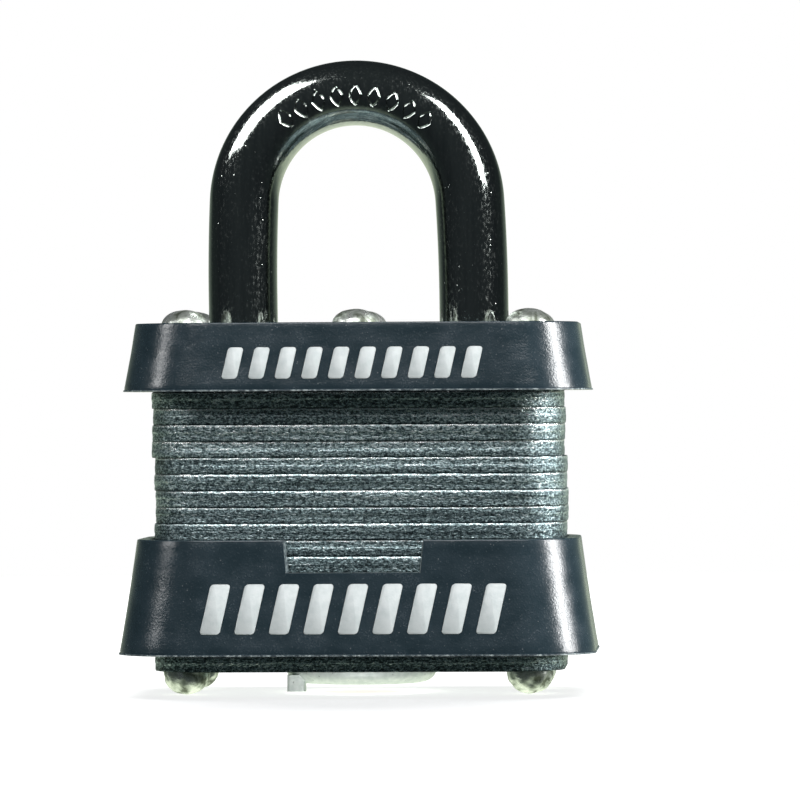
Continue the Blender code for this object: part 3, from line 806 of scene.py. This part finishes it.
def stamped_lozenges():
    """Outlines of a row of plain round-cornered lozenges pressed into the front of the bend."""
    count, first, last = 9, math.radians(128), math.radians(50)
    half_tall, half_wide, radial_middle, groove = 0.95, 0.6, 10.75, 0.12
    points, roundness = 36, 0.35
    tubes = []
    for i in range(count):
        angle = first + (last - first) * i / (count - 1)
        outward = Vector((math.cos(angle), 0, math.sin(angle)))
        along = Vector((outward.z, 0, -outward.x))
        path = []
        for step in range(points):
            turn = 2 * math.pi * step / points
            x, y = math.cos(turn), math.sin(turn)
            straight = 1 / (abs(x) + abs(y))
            reach = straight + (1 - straight) * roundness
            spot = outward * (radial_middle + half_tall * reach * y) + along * (half_wide * reach * x)
            off_centre = (spot.length - BEND_RADIUS) / bend_half_thickness(angle)
            spot.y = -BAR_RADIUS * math.sqrt(1 - off_centre * off_centre)
            path.append(leaned(Vector((0, 0, ARCH_CENTRE_Z)) + spot))
        tubes.append(groove_tool(path, groove))
    return joined(tubes)


def build_shackle():
    """The bar with its notches and the stamped row."""
    section = circle(1.0, SHACKLE_SIDES)
    y_axis = Vector((0, 1, 0))
    rings = []
    for centre, direction, half_thickness, half_depth in shackle_stations():
        across = y_axis.cross(direction) * half_thickness
        rings.append([centre + across * a + y_axis * (half_depth * b) for a, b in section])
    shackle = new_object("bar", loft(rings))
    for side in (-1, 1):
        cut(shackle, new_object("notch", notch_tool(side)))
    cut(shackle, new_object("stamp", stamped_lozenges()))
    stand_in(shackle, "shackle", 30)


# Rivets, guard and plug


def rivet_profile(low_z, high_z, seat_low, seat_high):
    """Radius and height up a rivet: lower dome, shank and upper dome."""
    turns = [(DOME_TIP + (1 - DOME_TIP) * step / DOME_STEPS) * math.pi / 2 for step in range(DOME_STEPS + 1)]
    lower = [(math.sin(a), seat_low - (seat_low - low_z) * math.cos(a) ** 0.8) for a in turns]
    upper = [(math.sin(a), seat_high + (high_z - seat_high) * math.cos(a) ** 0.9) for a in reversed(turns)]
    profile = [(RIVET_HEAD_RADIUS * reach, z) for reach, z in lower]
    profile += [(RIVET_RADIUS, seat_low), (RIVET_RADIUS, seat_high)]
    profile += [(RIVET_HEAD_RADIUS * reach, z) for reach, z in upper]
    return profile


def rivet_mesh(profile, seat_low, seat_high, peened, number):
    """A turned rivet with small dents in its domes, deeper in a lower one that is peened."""
    rings = []
    for radius, z in profile:
        roughness, inward = 0.0, -1
        if z < seat_low:
            roughness, inward = (0.34 if peened else 0.1), 1
        if z > seat_high:
            roughness = 0.12
        ring = []
        for x, y in circle(1.0, RIVET_SIDES):
            coarse = Vector((x * radius * 0.8, y * radius * 0.8, z * 0.8 + number * 9.0))
            fine = Vector((x * radius * 2.4, y * radius * 2.4, z * 2.4 + number * 5.0))
            dent = roughness * (max(0.0, noise.noise(coarse)) + 0.35 * max(0.0, noise.noise(fine)))
            dented_radius = radius * (1 - 0.5 * dent)
            ring.append((x * dented_radius, y * dented_radius, z + 0.4 * dent * inward))
        rings.append(ring)
    return loft(rings)


def build_rivets():
    """Corner rivets through the whole stack, and middle ones through the bored plates."""
    seat_high = box_mm("plate_01")[1].z + SEAT_GAP
    for number, node in enumerate(sorted(n for n in SLOT_OF if n.startswith("rivet_"))):
        low, high = box_mm(node)
        corner = "middle" not in node
        last_plate = "plate_21" if corner else LOWEST_BORED_PLATE
        seat_low = box_mm(last_plate)[0].z - SEAT_GAP
        profile = rivet_profile(low.z, high.z, seat_low, seat_high)
        rivet = new_object(f"head_{node[6:]}", rivet_mesh(profile, seat_low, seat_high, corner, number))
        centre = (low + high) / 2
        rivet.data.transform(Matrix.Translation(Vector((centre.x, centre.y, 0)) * MM))
        stand_in(rivet, node, 50)


def build_guard():
    """The flanged ring round the keyway, with soft cast edges and one turned-down ear."""
    low, high = box_mm("keyway_guard")
    face_z = low.z + EAR_DROP
    flange_top = box_mm("plate_21")[0].z - 0.2
    lip_top = box_mm("key_plug")[0].z - 0.3
    lip_round, edge_steps = 0.12, 8
    profile = [
        (GUARD_BORE_RADIUS, face_z + lip_round),
        (GUARD_BORE_RADIUS + lip_round, face_z),
        (GUARD_FACE_RADIUS, face_z),
    ]
    for step in range(edge_steps + 1):
        angle = step / edge_steps * math.pi / 2
        radius = GUARD_FACE_RADIUS + (GUARD_FLANGE_RADIUS - GUARD_FACE_RADIUS) * math.sin(angle)
        profile.append((radius, face_z + GUARD_EDGE_DEPTH * (1 - math.cos(angle))))
    profile += [
        (GUARD_FLANGE_RADIUS, flange_top),
        (GUARD_NECK_RADIUS, flange_top),
        (GUARD_NECK_RADIUS, high.z),
        (GUARD_SHELF_RADIUS, high.z),
        (GUARD_SHELF_RADIUS, lip_top),
        (GUARD_BORE_RADIUS, lip_top),
    ]
    rings = []
    for radius, z in profile:
        ring = []
        for x, y in circle(radius, ROUND_SIDES):
            wave = 0.04 * noise.noise(Vector((x * 0.9, y * 0.9, z * 0.9))) if z < flange_top else 0.0
            ring.append((x * (1 + wave / radius), y * (1 + wave / radius), z))
        rings.append(ring)
    guard = new_object("keyway_ring", loft(rings, cyclic=True))
    ear_outline = rounded_rectangle(EAR_WIDTH, EAR_DEPTH, EAR_CORNER, 4)
    ear_points = [(point.x + EAR_X, point.y + EAR_Y) for point, _ in ear_outline]
    ear = [at_height(ear_points, low.z + height) for height in (0.0, 0.5, EAR_HEIGHT)]
    cut(guard, new_object("ear", loft(ear)), "UNION")
    stand_in(guard, "keyway_guard", 35)


def build_plug_face():
    """The key plug with a smooth round rim at its face in place of the CAD's flats."""
    low, _ = box_mm("key_plug")
    plug = cad_copy("key_plug", "key_plug_body")
    face_z, edge_round = low.z - 0.02, 0.17
    rows = [
        (RIM_INNER_RADIUS, face_z),
        (RIM_RADIUS - edge_round, face_z),
        (RIM_RADIUS, face_z + edge_round),
        (RIM_RADIUS, low.z + RIM_HEIGHT),
        (RIM_INNER_RADIUS, low.z + RIM_HEIGHT),
    ]
    rim = loft([at_height(circle(radius, ROUND_SIDES), z) for radius, z in rows], cyclic=True)
    cut(plug, new_object("rim", rim), "UNION")
    stand_in(plug, "key_plug", 35)


# Stage, light and camera


def add_light(name, azimuth, elevation, width, height, radiance):
    """A softbox in a direction seen from the padlock. Its width and height are angles in degrees."""
    distance = 0.55
    a, e = math.radians(azimuth), math.radians(elevation)
    away = Vector((math.sin(a) * math.cos(e), -math.cos(a) * math.cos(e), math.sin(e)))
    light = bpy.data.lights.new(name, "AREA")
    light.shape = "RECTANGLE"
    light.size = 2 * distance * math.tan(math.radians(width) / 2)
    light.size_y = 2 * distance * math.tan(math.radians(height) / 2)
    light.energy = radiance * math.pi * light.size * light.size_y
    obj = bpy.data.objects.new(name, light)
    obj.location = Vector((0, 0, 0.035)) + away * distance
    obj.rotation_mode = "QUATERNION"
    obj.rotation_quaternion = away.to_track_quat("Z", "Y")
    obj.visible_camera = False
    bpy.context.scene.collection.objects.link(obj)
    return obj


def light_group(name, slots):
    """A collection of the pieces in some material slots, for lights that are kept to them."""
    group = bpy.data.collections.new(f"lit_{name}")
    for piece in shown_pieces():
        if (piece.get("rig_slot") or SLOT_OF[piece.name]) in slots:
            group.objects.link(piece)
    return group


def build_lights():
    """Softboxes, each kept to the pieces it is for, so that every finish gets its own highlights."""
    all_slots = {*SLOT_OF.values(), "inlay_white"}
    lit_slots = {
        "mirror": {"shackle_chrome"},
        "plates": {"zinc_plate"},
        "dull": all_slots - {"shackle_chrome"},
        "moulded": all_slots - {"shackle_chrome", "zinc_plate"},
        "casting": {"zinc_guard", "brass"},
    }
    groups = {name: light_group(name, slots) for name, slots in lit_slots.items()}
    # Azimuth, elevation, width and height in degrees, then radiance
    softboxes = (
        ("mirror", "right_high", 58, 33, 15, 40, 28.0),
        ("mirror", "left_high", -68, 44, 34, 38, 12.0),
        ("plates", "front_high", 4, 48, 60, 26, 3.0),
        ("moulded", "front_soft", 4, 46, 60, 28, 4.9),
        ("plates", "overhead", 0, 82, 60, 60, 6.0),
        ("moulded", "right_side", 85, 16, 17, 30, 24.0),
        ("plates", "right_edge", 98, 18, 10, 34, 28.0),
        ("dull", "left_side", -70, 24, 12, 16, 9.0),
        ("casting", "front_low", 5, -25, 40, 30, 4.6),
    )
    for group, *row in softboxes:
        add_light(*row).light_linking.receiver_collection = groups[group]
    for name, azimuth in (("back_right", 150), ("back_left", -150)):
        add_light(name, azimuth, 45, 24, 30, 5.0).visible_glossy = False


def build_world():
    """White to the camera. To the padlock, a dim room that is lighter behind and below it."""
    world = bpy.data.worlds.new("studio")
    bpy.context.scene.world = world
    world.use_nodes = True
    tree = world.node_tree
    tree.nodes.clear()
    place = tree.nodes.new("ShaderNodeTexCoord")
    toward = tree.nodes.new("ShaderNodeVectorMath")
    spread = tree.nodes.new("ShaderNodeMapRange")
    ramp = tree.nodes.new("ShaderNodeValToRGB")
    room = tree.nodes.new("ShaderNodeBackground")
    backdrop = tree.nodes.new("ShaderNodeBackground")
    path = tree.nodes.new("ShaderNodeLightPath")
    mix = tree.nodes.new("ShaderNodeMixShader")
    out = tree.nodes.new("ShaderNodeOutputWorld")
    spread.inputs["From Min"].default_value = -1.0
    toward.operation = "DOT_PRODUCT"
    toward.inputs[1].default_value = (0.0, 0.56, -0.83)
    # Radiance from the dim side, in front and above, to the light side, behind and below
    stops = (
        (0.0, (0.055, 0.065, 0.070)),
        (0.45, (0.030, 0.036, 0.040)),
        (0.63, (0.035, 0.045, 0.045)),
        (0.73, (0.24, 0.29, 0.24)),
        (0.82, (0.87, 0.96, 0.74)),
        (1.0, (1.28, 1.37, 1.12)),
    )
    elements = ramp.color_ramp.elements
    while len(elements) < len(stops):
        elements.new(0.5)
    for element, (share, colour) in zip(elements, stops):
        element.position = share
        element.color = (*colour, 1.0)
    backdrop.inputs["Color"].default_value = (1.0, 1.0, 1.0, 1.0)
    links = (
        (place.outputs["Generated"], toward.inputs[0]),
        (toward.outputs["Value"], spread.inputs["Value"]),
        (spread.outputs[0], ramp.inputs[0]),
        (ramp.outputs[0], room.inputs["Color"]),
        (path.outputs["Is Camera Ray"], mix.inputs[0]),
        (room.outputs[0], mix.inputs[1]),
        (backdrop.outputs[0], mix.inputs[2]),
        (mix.outputs[0], out.inputs[0]),
    )
    for start, end in links:
        tree.links.new(start, end)


def build_floor():
    """A pale round table top under the padlock, which neither lights nor shades it."""
    radius, drop, thickness = 400.0, 0.02, 2.0
    levels = (-drop - thickness, -drop)
    floor = new_object("floor", loft([at_height(circle(radius, 64), z) for z in levels]))
    floor.visible_diffuse = False
    floor.visible_glossy = False
    floor.visible_shadow = False
    material = bpy.data.materials.new("pale_floor")
    material.use_nodes = True
    shader = material.node_tree.nodes["Principled BSDF"]
    shader.inputs["Base Color"].default_value = (0.9, 0.9, 0.9, 1.0)
    shader.inputs["Roughness"].default_value = 1.0
    shader.inputs["Specular IOR Level"].default_value = 0.0
    shader.inputs["Emission Color"].default_value = (1.0, 1.0, 1.0, 1.0)
    shader.inputs["Emission Strength"].default_value = 0.8
    floor.data.materials.append(material)
    floor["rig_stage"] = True


def build_camera():
    """The camera looks level and straight at the padlock, and rolls a little."""
    height = cad_bounds[1].z * CAMERA_HEIGHT_SHARE
    back = Vector((math.sin(CAMERA_AZIMUTH), -math.cos(CAMERA_AZIMUTH), 0))
    right = Vector((math.cos(CAMERA_AZIMUTH), math.sin(CAMERA_AZIMUTH), 0))
    data = bpy.data.cameras.new("camera")
    data.lens = FOCAL_LENGTH
    data.sensor_width = 36.0
    data.clip_start, data.clip_end = 0.05, 10.0
    data.dof.use_dof = False
    camera = bpy.data.objects.new("camera", data)
    camera.location = Vector((0, 0, height)) + (right * CAMERA_ASIDE + back * CAMERA_DISTANCE) * MM
    camera.rotation_mode = "QUATERNION"
    camera.rotation_quaternion = (-back).to_track_quat("-Z", "Y") @ Quaternion((0, 0, 1), CAMERA_ROLL)
    bpy.context.scene.collection.objects.link(camera)
    bpy.context.scene.camera = camera
    bpy.context.scene.view_settings.view_transform = "Standard"


build_camera()
build_world()
build_floor()
build_plates()
build_bumpers()
build_shackle()
build_rivets()
build_guard()
build_plug_face()

for node_name, cad_object in frame["nodes"].items():
    for slot_index in range(len(cad_object.material_slots)):
        cad_object.material_slots[slot_index].material = MATERIALS[SLOT_OF[node_name]]

build_lights()
